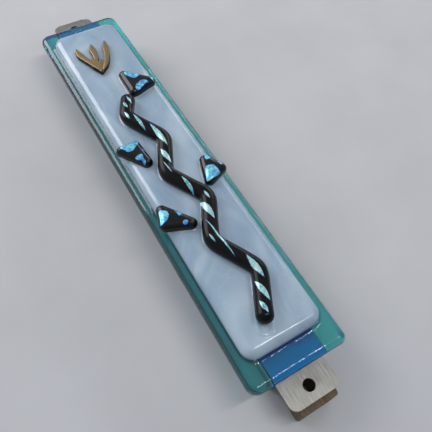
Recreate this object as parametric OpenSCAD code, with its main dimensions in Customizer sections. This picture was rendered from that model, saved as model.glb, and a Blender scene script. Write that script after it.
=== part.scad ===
// Mezuzah case of fused glass on a bent metal channel that holds the rolled scroll.
// Wall plane is y = 0, the front faces -Y and +Z runs up the doorpost.
// The origin lies on the wall, midway between the two screw holes.

/* [Base glass] */
// Width of the aqua base glass
glass_w = 38; // [34:0.5:60]
// Length of the aqua base glass
glass_l = 190; // [158:1:300]
// Thickness of the unbroken front sheet
front_sheet_t = 3; // [2:0.5:6]
// Thickness of the back layer, made of three strips side by side
back_sheet_t = 2; // [1.5:0.5:4]
// Corner radius of the base glass in front view
glass_corner_r = 4; // [3:0.5:8]
// Fire-polished radius along the front edge
front_edge_r = 2.4; // [0.5:0.1:3]
// Fire-polished radius along the back edge
back_edge_r = 1.6; // [0.3:0.1:2]
// Width of the blue strip let into the back layer
strip_w = 21; // [8:0.5:30]

/* [Opal panel] */
// Bare base glass left at each side of the panel
panel_side_margin = 3.75; // [2:0.25:8]
// Bare base glass left at each end of the panel
panel_end_margin = 9; // [4:0.5:20]
// Thickness of the panel
panel_t = 4; // [2:0.5:6]
// Corner radius of the panel in front view
panel_corner_r = 5; // [4:0.5:8]
// Slumped radius along the panel's front edge
panel_edge_r = 3.4; // [0.5:0.1:4]

/* [Twisted cane] */
// Diameter of the cane
cane_d = 5.8; // [4:0.1:8]
// How far the cane has slumped flat where it meets the panel
cane_sink = 0.9; // [0.2:0.1:1.5]
// Sideways place of the cane's middle line
cane_x = -0.7; // [-4:0.1:4]
// Swing of the bends to each side of the middle line
cane_swing = 3.75; // [1:0.05:6]
// Sideways drift of the middle line over the first five legs
cane_drift = 1.6; // [0:0.1:3]
// Height between one bend and the next
bend_pitch = 16.7; // [14:0.1:24]
// Height of the leg above the first bend
first_leg = 7.8; // [4:0.1:12]
// Least height of the leg below the last bend
min_last_leg = 8; // [4:0.5:12]
// From the panel's top edge down to the cane's top
cane_top_gap = 55.7; // [52:0.1:80]
// From the panel's bottom edge up to the cane's end
cane_end_gap = 10; // [6:0.5:30]
// How far the stripes stand proud of the cane
stripe_proud = 0.1; // [0.05:0.05:0.3]
// How deep the stripes reach into the cane
stripe_sink = 0.3; // [0.1:0.1:1]
// Slant of the stripes to the case's length
stripe_angle = 5; // [0:1:15]
// Hairline cut in a stripe where it crosses a bend
stripe_cut = 0.06; // [0.02:0.02:0.2]

/* [Chips] */
// Height of the black chips above the panel
chip_h = 3.8; // [2.5:0.1:6]
// Corner radius at a chip's foot
chip_corner_r = 1.8; // [1:0.1:2]
// Radius that softens a chip's top
chip_top_r = 1.2; // [0.6:0.1:1.8]
// How far a chip's top corners stand in from its foot
chip_inset = 0.9; // [0.5:0.1:2]
// Height of the straight wall at a chip's foot
chip_foot_h = 0.8; // [0.4:0.1:1.5]
// Thickness of the dichroic flakes
flake_t = 0.2; // [0.1:0.05:0.5]

/* [Letter ornament] */
// Thickness of the cast letter
letter_t = 2; // [1:0.1:3]
// Sideways place of the letter's lowest point
letter_x = -3.3; // [-6:0.1:2]
// From the panel's top edge down to the letter's lowest point
letter_gap = 34.3; // [30:0.1:36]
// Thickness of the glue under the letter
glue_t = 0.2; // [0.1:0.05:0.5]
// Diameter of the glue dot
glue_d = 2.8; // [1.5:0.1:3.5]

/* [Metal channel] */
// Width of the channel and its tabs
channel_w = 19; // [15:0.5:25]
// Thickness of the sheet metal
metal_t = 1.2; // [0.8:0.1:2]
// How far each tab reaches past the glass
tab_l = 10; // [8:0.5:20]
// Corner radius of the tabs
tab_corner_r = 3; // [1:0.5:5]
// Diameter of the screw holes
hole_d = 4.3; // [3:0.1:5]
// From the end of the glass to the centre of the screw hole
hole_setback = 5; // [4:0.5:8]
// How far the side flanges stop short of the glass
flange_setback = 1; // [0:0.5:5]

/* [Tape] */
// Thickness of the mounting tape between metal and glass
tape_t = 0.5; // [0.2:0.1:1.5]
// Length of one piece of tape
tape_l = 40; // [10:1:45]
// Width left bare at each side of the tape
tape_side_gap = 1; // [0.5:0.5:4]
// From the end of the glass to the nearest tape
tape_end_gap = 15; // [10:1:25]

/* [End blocks] */
// How far each end block shows past its tab
block_lip = 2; // [0.5:0.5:5]
// How far each side of an end block stands in from its tab
block_inset = 2.3; // [1.3:0.1:3]
// Length of the tongue that fits between the flanges
block_tongue = 8; // [4:1:12]
// Clearance of the tongue at each side
block_clearance = 0.1; // [0.05:0.05:0.3]
// Corner radius of the end blocks
block_corner_r = 1.2; // [0.5:0.1:3]

/* [Scroll] */
// Diameter of the rolled parchment
scroll_d = 8; // [6:0.1:11]
// Length of the rolled parchment
scroll_l = 100; // [60:1:120]
// Thickness of the parchment
parchment_t = 0.4; // [0.2:0.05:0.5]
// Gap between turns of the roll
turn_gap = 0.2; // [0.1:0.05:0.3]
// Diameter of the hollow down the middle of the roll
core_d = 3; // [2:0.1:3.5]
// Thickness of the clear film sleeve
film_t = 0.2; // [0.1:0.05:0.4]
// Clearance between the roll and its sleeve
film_clearance = 0.1; // [0.05:0.05:0.3]
// How far the sleeve reaches past each end of the roll
film_overhang = 3; // [0:0.5:8]
// Clearance between the sleeve and the metal or the wall
bundle_gap = 0.6; // [0.3:0.1:2]

/* [Cradles] */
// Length of each foam cradle
cradle_l = 14; // [8:1:20]
// Thickness of the wall that stops the scroll's end
cradle_wall = 3; // [1.5:0.5:6]
// Clearance between the sleeve and a cradle's notch
cradle_clearance = 0.05; // [0.02:0.01:0.1]
// Gap between a cradle and the wall
cradle_back_gap = 0.2; // [0:0.1:1]
// Gap between the sleeve's end and the cradle's stop
cradle_end_gap = 0.3; // [0.1:0.1:2]

/* [Hidden] */
$fn = 48;

// Depths in front of the wall
bundle_r = scroll_d / 2 + film_clearance + film_t;
cavity_depth = 2 * (bundle_r + bundle_gap);
channel_depth = cavity_depth + metal_t;
glass_back = channel_depth + tape_t;
sheet_back = glass_back + back_sheet_t;
glass_front = sheet_back + front_sheet_t;
scroll_depth = cavity_depth / 2;

// Panel, which carries the decoration
panel_w = glass_w - 2 * panel_side_margin;
panel_l = glass_l - 2 * panel_end_margin;
panel_top = panel_l / 2;
panel_front = glass_front + panel_t;

// Channel
flange_end = glass_l / 2 - flange_setback;
tab_end = glass_l / 2 + tab_l;
hole_z = glass_l / 2 + hole_setback;
inner_w = channel_w - 2 * metal_t;
tape_z = glass_l / 2 - tape_end_gap - tape_l / 2;

// Scroll
bundle_half = scroll_l / 2 + film_overhang;
roll_pitch = parchment_t + turn_gap;
roll_turns = (scroll_d / 2 - parchment_t - core_d / 2) / roll_pitch;
roll_steps = ceil(roll_turns * 20);

// Cane: a first leg, legs of equal height between the bends, and what is left below the last one
cane_top = panel_top - cane_top_gap;
cane_run = cane_top + panel_top - cane_end_gap;
cane_legs = floor((cane_run - first_leg - min_last_leg) / bend_pitch);
last_leg = cane_run - first_leg - cane_legs * bend_pitch;
function bend_side(i) = i % 2 == 0 ? -1 : 1;
function bend_x(i) = cane_x + cane_drift * (i / 5 - 0.5) + bend_side(i) * cane_swing;
function bend_z(i) = cane_top - first_leg - i * bend_pitch;
lean = 2 * cane_swing / bend_pitch;
cane_points = concat(
    [[bend_x(0) + first_leg * lean, cane_top]],
    [for (i = [0:cane_legs]) [bend_x(i), bend_z(i)]],
    [[bend_x(cane_legs) - bend_side(cane_legs) * last_leg * lean, cane_top - cane_run]]);
cane_axis = panel_front + cane_d / 2 - cane_sink;

// Stripes: leg, share of the way down it, place aside of its middle, length and width
stripes = [[1, 0.3, 1, 3.6, 1.2], [1, 0.5, -0.8, 4, 1.4], [2, 0.1, -1.4, 4.2, 1.2],
           [2, 0.4, -1.1, 10, 1.4], [3, 0, -1.8, 13.5, 2.2], [3, 0.65, 0.2, 8, 2.3],
           [3, 0.95, 0.6, 6.5, 0.6], [4, 0.6, -0.8, 9, 1.4], [5, 0.05, 0.2, 4, 1.2],
           [5, 0.35, -0.5, 10, 2.6], [6, 0.1, 1.6, 18, 1], [6, 0.05, -0.8, 4.2, 0.8],
           [6, 1, -1.1, 10, 2.4], [7, 0.55, 0.1, 8.5, 2.3], [7, 0.85, -0.4, 4.4, 1.8]];
// Legs past the seventh take their stripes from the second to the seventh in turn
function stripe_leg(i) = i <= 7 ? i : 2 + (i - 2) % 6;

// Chips: middle of each one, its three foot corners, and the outlines of its flakes
chip_1_at = [6.4, cane_top + 9.1];
chip_1_corners = [[-3, 7.3], [6.4, -2.2], [-3.3, -5]];
chip_1_patches = [
    [[-2.2, 5.8], [0.4, 3.2], [2.4, 1.2], [0.8, 0.6], [-2, 3]],
    [[-2, -3.4], [0.4, -3.2], [3.4, -2.3], [2.4, -1], [-0.8, -1.6]],
    [[4, -1], [5.1, -1.7], [4.2, -2]]];
chip_2_at = [-10.8, bend_z(1) - 1.6];
chip_2_corners = [[-4.6, 3.8], [2, 3.4], [2.7, -7.1]];
chip_2_patches = [
    [[-3.2, 2.8], [-1, 2.6], [1.2, 2.4], [0.6, 0.8], [-1.2, 0.2]],
    [[0, -1.8], [1.4, -1.4], [1.6, -3.4], [1.8, -4.6], [0.9, -3.6]],
    [[1.1, 0], [1.6, -0.4], [1.3, -0.9]]];
chip_3_at = [11.6, bend_z(2) - 6.1];
chip_3_corners = [[-0.2, 5.8], [3.9, -1.3], [-3.6, -4.5]];
chip_3_patches = [
    [[-1.4, 0.2], [-0.4, 1], [1, 0], [1.4, -1.6], [-1, -2.4], [-2.4, -3]],
    [[-0.4, 3.6], [0, 4.2], [0.3, 3.6], [0, 3]],
    [[1.9, 0.4], [2.6, -0.8], [1.9, -0.6]]];
chip_4_at = [-11.9, bend_z(3) - 2.4];
chip_4_corners = [[-2, 6.1], [6, -5], [-4, -1]];
chip_4_patches = [
    [[-1.8, 4], [-0.8, 2.8], [-0.6, 1.2], [-1.6, -0.4], [-2.7, -0.5], [-2.3, 1.6]],
    [[0.6, 1.6], [1.6, 0.4], [2, -0.8], [0.9, -0.2]],
    [[1.4, -2.2], [3, -2.6], [2.8, -3.2], [1.4, -2.6]]];

// Letter: three tapering arms, each a cubic curve from its tip, and the solid foot they share
letter_left = [[-4.2, 20.5], [-5, 13.5], [-0.4, 9.5], [0, 0]];
letter_middle = [[2.9, 20.1], [1.4, 15.5], [2.6, 10], [-0.2, 6.5]];
letter_right = [[9.5, 20], [7.2, 14.5], [7.5, 6.5], [0, 0]];
letter_foot = [[-1.4, 7.8], [1.4, 6.6], [3.9, 5.6], [0, 0]];
arm_steps = 20;
arm_half_widths = [[0, 0], [0.12, 0.9], [0.28, 1.45], [0.5, 1.15], [0.8, 0.95], [1, 0.05]];
glue_at = [0.7, 4.2];

// Lays what is drawn in X and Y on the face, its back at the given depth in front of the wall
module on_face(depth) translate([0, -depth, 0]) rotate([90, 0, 0]) children();

// Points of an arc about c, or c itself where the radius is nothing
function arc(c, r, from, to, steps = 6) =
    r == 0 ? [c] : [for (i = [0:steps])
        let (a = from + (to - from) * i / steps) c + r * [cos(a), sin(a)]];

// A sheet with round corners, its edges slumped to front_r in front and back_r behind
module slab(w, l, t, corner_r, front_r, back_r) {
    profile = concat([[0, 0]], arc([corner_r - back_r, back_r], back_r, -90, 0),
                     arc([corner_r - front_r, t - front_r], front_r, 0, 90), [[0, t]]);
    hull() for (sx = [-1, 1], sy = [-1, 1])
        translate([sx * (w / 2 - corner_r), sy * (l / 2 - corner_r), 0])
            rotate_extrude($fn = 32) polygon(profile);
}

// A flat rectangle with true round corners
module rounded_rect(w, l, r) {
    square([w - 2 * r, l], center = true);
    square([w, l - 2 * r], center = true);
    for (sx = [-1, 1], sy = [-1, 1])
        translate([sx * (w / 2 - r), sy * (l / 2 - r)]) circle(r);
}

// The back layer between two places across the glass
module back_layer(from_x, to_x) on_face(glass_back) intersection() {
    slab(glass_w, glass_l, back_sheet_t, glass_corner_r, 0, min(back_edge_r, back_sheet_t - 0.2));
    translate([from_x, -glass_l / 2 - 1, -1]) cube([to_x - from_x, glass_l + 2, back_sheet_t + 2]);
}

module front_sheet() color("mediumaquamarine") on_face(sheet_back)
    slab(glass_w, glass_l, front_sheet_t, glass_corner_r, min(front_edge_r, front_sheet_t - 0.4), 0);

module side_strip_left() color("cadetblue") back_layer(-glass_w / 2 - 1, -strip_w / 2);

module side_strip_right() color("cadetblue") back_layer(strip_w / 2, glass_w / 2 + 1);

module blue_strip() color("dodgerblue") back_layer(-strip_w / 2, strip_w / 2);

module opal_panel() color("aliceblue") on_face(glass_front)
    slab(panel_w, panel_l, panel_t, panel_corner_r, min(panel_edge_r, panel_t - 0.3), 0.3);

// The cane: a round rod through its points, slumped flat where it lies on the panel
module twist_cane() color([0.1, 0.1, 0.1]) difference() {
    for (i = [1:len(cane_points) - 1]) hull() for (p = [cane_points[i - 1], cane_points[i]])
        translate([p[0], -cane_axis, p[1]]) sphere(d = cane_d, $fn = 20);
    translate([-glass_w, -panel_front, -glass_l]) cube([2 * glass_w, cane_d, 2 * glass_l]);
}

// The round skin of one leg, from one bend's level down to the next
module leg_skin(i) intersection() {
    top = cane_points[i - 1];
    run = cane_points[i] - top;
    translate([top[0], -cane_axis, top[1]]) rotate([0, atan2(run[0], run[1]), 0])
        translate([0, 0, -cane_d]) difference() {
            cylinder(d = cane_d + 2 * stripe_proud, h = norm(run) + 2 * cane_d);
            translate([0, 0, -1]) cylinder(d = cane_d - 2 * stripe_sink, h = norm(run) + 2 * cane_d + 2);
        }
    translate([-glass_w, -cane_axis - cane_d, cane_points[i][1] + stripe_cut / 2])
        cube([2 * glass_w, cane_d, -run[1] - stripe_cut]);
}

// A stripe's outline: a slim leaf with its points up and down
function leaf(l, w) = [for (a = [0:20:340]) [w / 2 * sin(a), l / 2 * cos(a) * pow(abs(cos(a)), 0.4)]];

// Stripes let into the front of the cane; one that crosses a bend is cut there and turns with the cane
module cane_stripes() color("paleturquoise")
    for (leg = [1:len(cane_points) - 1], s = stripes) if (s[0] == stripe_leg(leg)) {
        above = cane_points[leg - 1];
        at = above + s[1] * (cane_points[leg] - above) + [s[2], 0];
        for (i = [1:len(cane_points) - 1])
            if (at[1] - s[3] / 2 < cane_points[i - 1][1] && at[1] + s[3] / 2 > cane_points[i][1])
                intersection() {
                    leg_skin(i);
                    on_face(cane_axis) translate(at) rotate(stripe_angle) linear_extrude(cane_d)
                        polygon(leaf(s[3], s[4]));
                }
    }

// A chip: a triangular foot with round corners under a smaller soft-edged top
module chip(at, corners) {
    middle = (corners[0] + corners[1] + corners[2]) / 3;
    on_face(panel_front) translate(at) hull() {
        for (p = corners) translate(p) cylinder(r = chip_corner_r, h = chip_foot_h, $fn = 28);
        for (p = corners) translate(p + (middle - p) * chip_inset / norm(middle - p))
            translate([0, 0, chip_h - chip_top_r]) sphere(chip_top_r, $fn = 28);
    }
}

module flakes(at, patches) on_face(panel_front + chip_h) translate(at)
    for (p = patches) linear_extrude(flake_t) polygon(p);

module chip_1() color([0.1, 0.1, 0.1]) chip(chip_1_at, chip_1_corners);
module chip_2() color([0.1, 0.1, 0.1]) chip(chip_2_at, chip_2_corners);
module chip_3() color([0.1, 0.1, 0.1]) chip(chip_3_at, chip_3_corners);
module chip_4() color([0.1, 0.1, 0.1]) chip(chip_4_at, chip_4_corners);
module chip_1_flakes() color("turquoise") flakes(chip_1_at, chip_1_patches);
module chip_2_flakes() color("turquoise") flakes(chip_2_at, chip_2_patches);
module chip_3_flakes() color("turquoise") flakes(chip_3_at, chip_3_patches);
module chip_4_flakes() color("turquoise") flakes(chip_4_at, chip_4_patches);

function bezier(p, t) = pow(1 - t, 3) * p[0] + 3 * t * pow(1 - t, 2) * p[1]
    + 3 * t * t * (1 - t) * p[2] + pow(t, 3) * p[3];
function heading(p, t) = bezier(p, min(t + 0.01, 1)) - bezier(p, max(t - 0.01, 0));

// An arm's outline: down one side of its curve and back up the other
module arm(p) {
    ts = [for (i = [0:arm_steps]) i / arm_steps];
    sides = [for (t = ts) let (h = heading(p, t)) lookup(t, arm_half_widths) * [-h[1], h[0]] / norm(h)];
    polygon(concat([for (i = [0:arm_steps]) bezier(p, ts[i]) + sides[i]],
                   [for (i = [arm_steps:-1:1]) bezier(p, ts[i]) - sides[i]]));
}

module on_letter(depth) on_face(depth) translate([letter_x, panel_top - letter_gap]) children();

module letter_ornament() color("peru") on_letter(panel_front + glue_t) linear_extrude(letter_t) {
    arm(letter_left);
    arm(letter_middle);
    arm(letter_right);
    polygon(letter_foot);
}

module letter_glue() color("whitesmoke") on_letter(panel_front) translate(glue_at)
    cylinder(d = glue_d, h = glue_t);

module screw_hole(z) translate([0, 1, z]) rotate([90, 0, 0])
    cylinder(d = hole_d, h = channel_depth + 2);

module back_channel() color("silver") difference() {
    union() {
        on_face(cavity_depth) linear_extrude(metal_t)
            rounded_rect(channel_w, 2 * tab_end, tab_corner_r);
        for (x = [-channel_w / 2, channel_w / 2 - metal_t])
            translate([x, -cavity_depth, -flange_end])
                cube([metal_t, cavity_depth, 2 * flange_end]);
    }
    for (s = [-1, 1]) screw_hole(s * hole_z);
}

module tape(z) on_face(channel_depth) translate([0, z, tape_t / 2])
    cube([channel_w - 2 * tape_side_gap, tape_l, tape_t], center = true);

module tape_top() color("gainsboro") tape(tape_z);
module tape_middle() color("gainsboro") tape(0);
module tape_bottom() color("gainsboro") tape(-tape_z);

// An end block, drawn for the top: a tongue that plugs the channel and a narrower foot behind the tab,
// rooted halfway down the tongue
module end_block() difference() {
    foot_l = tab_end + block_lip - flange_end + block_tongue / 2;
    tongue_w = inner_w - 2 * block_clearance;
    union() {
        on_face(0) linear_extrude(cavity_depth)
            translate([0, tab_end + block_lip - foot_l / 2])
                rounded_rect(channel_w - 2 * block_inset, foot_l, block_corner_r);
        on_face(0) linear_extrude(cavity_depth)
            translate([-tongue_w / 2, flange_end - block_tongue])
                square([tongue_w, block_tongue - block_clearance]);
    }
    screw_hole(hole_z);
}

module end_block_top() color("saddlebrown") end_block();
module end_block_bottom() color("saddlebrown") mirror([0, 0, 1]) end_block();

// A foam cradle, drawn for the top: a block with a notch that opens towards the wall
module cradle() difference() {
    stop_z = bundle_half + cradle_end_gap;
    notch_r = bundle_r + cradle_clearance;
    low_z = stop_z + cradle_wall - cradle_l;
    translate([-inner_w / 2, -cavity_depth, low_z])
        cube([inner_w, cavity_depth - cradle_back_gap, cradle_l]);
    translate([0, -scroll_depth, low_z - 1]) cylinder(r = notch_r, h = stop_z - low_z + 1);
    translate([-notch_r, -scroll_depth, low_z - 1])
        cube([2 * notch_r, scroll_depth + 1, stop_z - low_z + 1]);
}

module cradle_top() color("dimgray") cradle();
module cradle_bottom() color("dimgray") mirror([0, 0, 1]) cradle();

module scroll_sleeve() color("lightcyan", 0.4) translate([0, -scroll_depth, 0]) difference() {
    cylinder(r = bundle_r, h = 2 * bundle_half, center = true);
    cylinder(r = bundle_r - film_t, h = 2 * bundle_half + 2, center = true);
}

function spiral(i, offset) =
    let (a = 360 * roll_turns * i / roll_steps, r = core_d / 2 + offset + roll_pitch * a / 360)
    r * [cos(a), sin(a)];

// The roll: a flat spiral band, carried along the scroll's length
module parchment_scroll() color("wheat") translate([0, -scroll_depth, -scroll_l / 2])
    linear_extrude(scroll_l) polygon(concat(
        [for (i = [0:roll_steps]) spiral(i, 0)],
        [for (i = [roll_steps:-1:0]) spiral(i, parchment_t)]));

front_sheet();
side_strip_left();
side_strip_right();
blue_strip();
opal_panel();
twist_cane();
cane_stripes();
chip_1();
chip_2();
chip_3();
chip_4();
chip_1_flakes();
chip_2_flakes();
chip_3_flakes();
chip_4_flakes();
letter_ornament();
letter_glue();
back_channel();
tape_top();
tape_middle();
tape_bottom();
end_block_top();
end_block_bottom();
cradle_top();
cradle_bottom();
scroll_sleeve();
parchment_scroll();
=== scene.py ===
"""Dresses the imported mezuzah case: fused glass front, bronze letter, brushed channel and parchment scroll.

Lengths are in millimetres up to the moment a mesh is made, depths are measured from the wall towards
the viewer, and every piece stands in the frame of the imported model: x across, z up, the wall at y = 0.
"""

import bpy
import numpy as np
from bpy.props import FloatProperty, FloatVectorProperty, PointerProperty
from mathutils import Matrix, Vector


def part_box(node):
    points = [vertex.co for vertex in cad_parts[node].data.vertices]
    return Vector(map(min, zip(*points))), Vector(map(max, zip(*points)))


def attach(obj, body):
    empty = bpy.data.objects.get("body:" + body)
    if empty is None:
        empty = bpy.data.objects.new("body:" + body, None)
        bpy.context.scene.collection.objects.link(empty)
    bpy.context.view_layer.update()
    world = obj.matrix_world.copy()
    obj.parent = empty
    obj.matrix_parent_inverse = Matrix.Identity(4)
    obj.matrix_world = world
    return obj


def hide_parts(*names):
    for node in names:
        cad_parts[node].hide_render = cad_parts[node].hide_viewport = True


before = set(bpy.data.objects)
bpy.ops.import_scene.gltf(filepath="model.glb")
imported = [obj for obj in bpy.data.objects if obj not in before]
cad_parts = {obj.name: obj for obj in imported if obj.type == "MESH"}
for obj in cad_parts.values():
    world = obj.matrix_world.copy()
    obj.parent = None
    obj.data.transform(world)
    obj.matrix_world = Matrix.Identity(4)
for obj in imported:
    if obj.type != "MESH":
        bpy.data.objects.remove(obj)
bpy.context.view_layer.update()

bl_info = {
    "name": "Fused glass mezuzah case",
    "version": (1, 0, 0),
    "blender": (4, 5, 0),
    "location": "View3D > Sidebar > Case",
    "description": "Builds the visible pieces of the case round its packed frame",
    "category": "Object",
}

MM = 0.001


def node_box(name):
    """A node's lowest and highest corner in millimetres."""
    low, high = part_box(name)
    return np.array(low) / MM, np.array(high) / MM


def colour(code):
    """An sRGB hex colour as linear RGBA."""
    rgb = np.array([int(code[i : i + 2], 16) for i in (1, 3, 5)]) / 255
    linear = np.where(rgb <= 0.04045, rgb / 12.92, ((rgb + 0.055) / 1.055) ** 2.4)
    return (*(float(v) for v in linear), 1.0)


# ---- shapes


def place(points_x, points_z, depth):
    """Points across, up and out from the wall, as one array of x, y, z in millimetres."""
    return np.stack(np.broadcast_arrays(points_x, -depth, points_z), -1)


def make_piece(name, vertices, faces, material, body, nodes, slot, attributes=None):
    """Puts a closed shape in the scene, facing outwards: where its signed volume, a sixth of the sum of
    a . (b x c) over its triangles, comes out below nothing, every face is turned round."""
    vertices, faces = np.asarray(vertices, float).reshape(-1, 3), [np.asarray(f) for f in faces]
    fans = [(f[:, 0], f[:, i], f[:, i + 1]) for f in faces for i in range(1, f.shape[1] - 1)]
    volume = sum(
        np.einsum("ij,ij->i", vertices[a], np.cross(vertices[b], vertices[c])).sum() for a, b, c in fans
    )
    rows = [row[::-1] if volume < 0 else row for f in faces for row in f.tolist()]
    mesh = bpy.data.meshes.new(name)
    mesh.from_pydata((vertices * MM).tolist(), [], rows)
    mesh.polygons.foreach_set("use_smooth", np.ones(len(rows), bool))
    for key, values in (attributes or {}).items():
        mesh.attributes.new(key, "FLOAT", "POINT").data.foreach_set("value", np.ravel(values).astype("f"))
    mesh.materials.append(material)
    mesh.update()
    piece = bpy.data.objects.new(name, mesh)
    bpy.context.collection.objects.link(piece)
    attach(piece, body)
    if nodes:
        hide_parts(*nodes)
    return piece


def quads(rows, columns, wrap=False):
    """Faces of a grid of points numbered row by row; with wrap its last column joins the first."""
    r, c = np.arange(rows - 1)[:, None], np.arange(columns if wrap else columns - 1)[None]
    n = (c + 1) % columns
    corners = [r * columns + c, r * columns + n, (r + 1) * columns + n, (r + 1) * columns + c]
    return np.stack([np.broadcast_to(k, (rows - 1, c.shape[1])).ravel() for k in corners], 1)


def sheet_pair(front, back):
    """A front and a back surface on the same grid, and the rim that joins their outer edges."""
    rows, columns = front.shape[:2]
    count = rows * columns
    index = np.arange(count).reshape(rows, columns)
    loop = np.concatenate([index[0, :-1], index[:-1, -1], index[-1, :0:-1], index[:0:-1, 0]])
    after = np.roll(loop, -1)
    face = quads(rows, columns)
    rim = np.stack([loop, loop + count, after + count, after], 1)
    return np.concatenate([front.reshape(-1, 3), back.reshape(-1, 3)]), [face, face[:, ::-1] + count, rim]


def tube(rings):
    """Closed rings of points one after another, with the first and the last ring closed by a face."""
    rows, columns = rings.shape[:2]
    ring = np.arange(columns)[None]
    return rings.reshape(-1, 3), [quads(rows, columns, wrap=True), ring[:, ::-1], (rows - 1) * columns + ring]


def joined(shapes):
    """Several closed shapes, each given by its points and faces, as one."""
    starts = np.cumsum([0] + [len(points) for points, _ in shapes])
    faces = [face + start for (_, group), start in zip(shapes, starts) for face in group]
    return np.concatenate([points for points, _ in shapes]), faces


def measured(points):
    """How far along a line of points each one lies."""
    return np.concatenate([[0], np.cumsum(np.linalg.norm(np.diff(points, axis=0), axis=1))])


def spots(at, reach, points):
    """Places at given distances along a line whose points lie at known distances."""
    return np.stack([np.interp(at, reach, points[:, i]) for i in (0, 1)], 1)


def carried(line, across):
    """Places across and up that stand so far to the left of each point of a line."""
    ahead = np.gradient(line, axis=0)
    ahead /= np.linalg.norm(ahead, axis=1)[:, None]
    return line[:, :1] - ahead[:, 1:] * across, line[:, 1:] + ahead[:, :1] * across


def ripple(x, z, wave, seed, count=9):
    """A soft uneven surface between about -1 and 1: the mean of sines that run in seeded directions,
    each with a wavelength between 0.6 and 1.6 times the given one."""
    rng = np.random.default_rng(seed)
    turn, shift, stretch = rng.uniform(0, 2 * np.pi, (2, count)).tolist() + [rng.uniform(0.6, 1.6, count)]
    total = 0.0
    for a, s, k in zip(turn, shift, stretch):
        total = total + np.sin((x * np.cos(a) + z * np.sin(a)) * 2 * np.pi / (wave * k) + s)
    return total / np.sqrt(count) / 1.6


def edge_lines(half, soft, step, extra=()):
    """Places from -half to half: close together over the soft edge, where each stands soft * (1 - cos a)
    in from the end for even steps of a, and evenly spaced between."""
    near = half - soft * (1 - np.cos(np.linspace(0, np.pi / 2, 15)))
    inner = half - soft
    middle = np.linspace(-inner, inner, int(2 * inner / step) + 1)
    places = np.concatenate([near, -near, middle, np.asarray(extra, float)])
    places = np.unique(np.round(places, 4))
    keep = np.concatenate([[True], np.diff(places) > 0.008])
    return places[keep]


def inside_plan(x, z, half, radius):
    """How far inside a rectangle with round corners a place lies, below zero outside it."""
    qx, qz = np.abs(x) - (half[0] - radius), np.abs(z) - (half[1] - radius)
    return radius - np.hypot(np.clip(qx, 0, None), np.clip(qz, 0, None)) - np.minimum(np.maximum(qx, qz), 0)


def rounded_plan(half, radii, soft, step, extra_x=(), extra_z=()):
    """A grid over a rectangle with round corners, and how far each point lies inside its outline.
    In a corner square the point (s, t) moves to s * sqrt(1 - t*t/2), t * sqrt(1 - s*s/2), which carries
    the square's outer sides onto the arc. The second radius is that of the lower right corner."""
    x, z = np.meshgrid(edge_lines(half[0], soft, step, extra_x), edge_lines(half[1], soft, step, extra_z))
    radius = np.where((x > 0) & (z < 0), radii[1], radii[0])
    s = np.clip(np.abs(x) - (half[0] - radius), 0, None) / radius
    t = np.clip(np.abs(z) - (half[1] - radius), 0, None) / radius
    x = np.where(s > 0, np.sign(x) * (half[0] - radius + radius * s * np.sqrt(1 - t * t / 2)), x)
    z = np.where(t > 0, np.sign(z) * (half[1] - radius + radius * t * np.sqrt(1 - s * s / 2)), z)
    return x, z, np.clip(inside_plan(x, z, half, radius), 0, None)


def quarter_round(inside, radius):
    """How far a quarter-round edge has risen at a place that far inside: from 0 to radius."""
    short = np.clip(radius - inside, 0, radius)
    return np.sqrt(np.clip(radius**2 - short**2, 0, None))


# ---- materials


def add(tree, kind, inputs=None, stops=(), **values):
    """Adds a node. Each input is given by its name or number as a value, as a hex colour, or as the socket
    or node that feeds it, a node by its first output in use. Values named after an attribute of the node
    set it, the others set the input of that name. Stops are a colour ramp's, each a place and a colour."""
    made = tree.nodes.new(kind)
    inputs = dict(inputs or {})
    for key, value in values.items():
        if hasattr(made, key):
            setattr(made, key, value)
        else:
            inputs[key.replace("_", " ")] = value
    for key, value in inputs.items():
        if isinstance(value, bpy.types.Node):
            value = next(output for output in value.outputs if output.enabled)
        if isinstance(value, bpy.types.NodeSocket):
            tree.links.new(value, made.inputs[key])
        else:
            made.inputs[key].default_value = colour(value) if isinstance(value, str) else value
    if stops:
        elements = made.color_ramp.elements
        for _ in stops[2:]:
            elements.new(0.5)
        for element, (at, code) in zip(elements, stops):
            element.position, element.color = at, colour(code)
    return made


def new_material(name):
    """An empty node material, its tree, and its object coordinates in metres."""
    material = bpy.data.materials.new(name)
    material.use_nodes = True
    tree = material.node_tree
    tree.nodes.clear()
    return material, tree, add(tree, "ShaderNodeTexCoord").outputs["Object"]


def finish_material(material, height, strength, depth, volume=None, **values):
    """Closes a material: its shader, whose skin rises with the height by a depth in millimetres, and what
    fills its volume."""
    tree = material.node_tree
    bump = add(tree, "ShaderNodeBump", Height=height, Strength=strength, Distance=depth * MM)
    shader = add(tree, "ShaderNodeBsdfPrincipled", Normal=bump, **values)
    add(tree, "ShaderNodeOutputMaterial", {"Surface": shader, **({"Volume": volume} if volume else {})})
    return material


def per_mm(size):
    """The texture scale whose features are about that many millimetres across."""
    return 1 / (size * MM)


def threads(tree, vector, size, width, distortion):
    """Thin wandering lines: full where a noise passes its middle value, gone where it is a width away."""
    noise = add(
        tree, "ShaderNodeTexNoise", Vector=vector, Scale=per_mm(size), Detail=2.0, Distortion=distortion
    )
    off = add(tree, "ShaderNodeMath", {0: noise, 1: 0.5}, operation="SUBTRACT")
    away = add(tree, "ShaderNodeMath", {0: off}, operation="ABSOLUTE")
    return add(tree, "ShaderNodeMapRange", Value=away, From_Min=0.0, From_Max=width, To_Min=1.0, To_Max=0.0)


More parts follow.
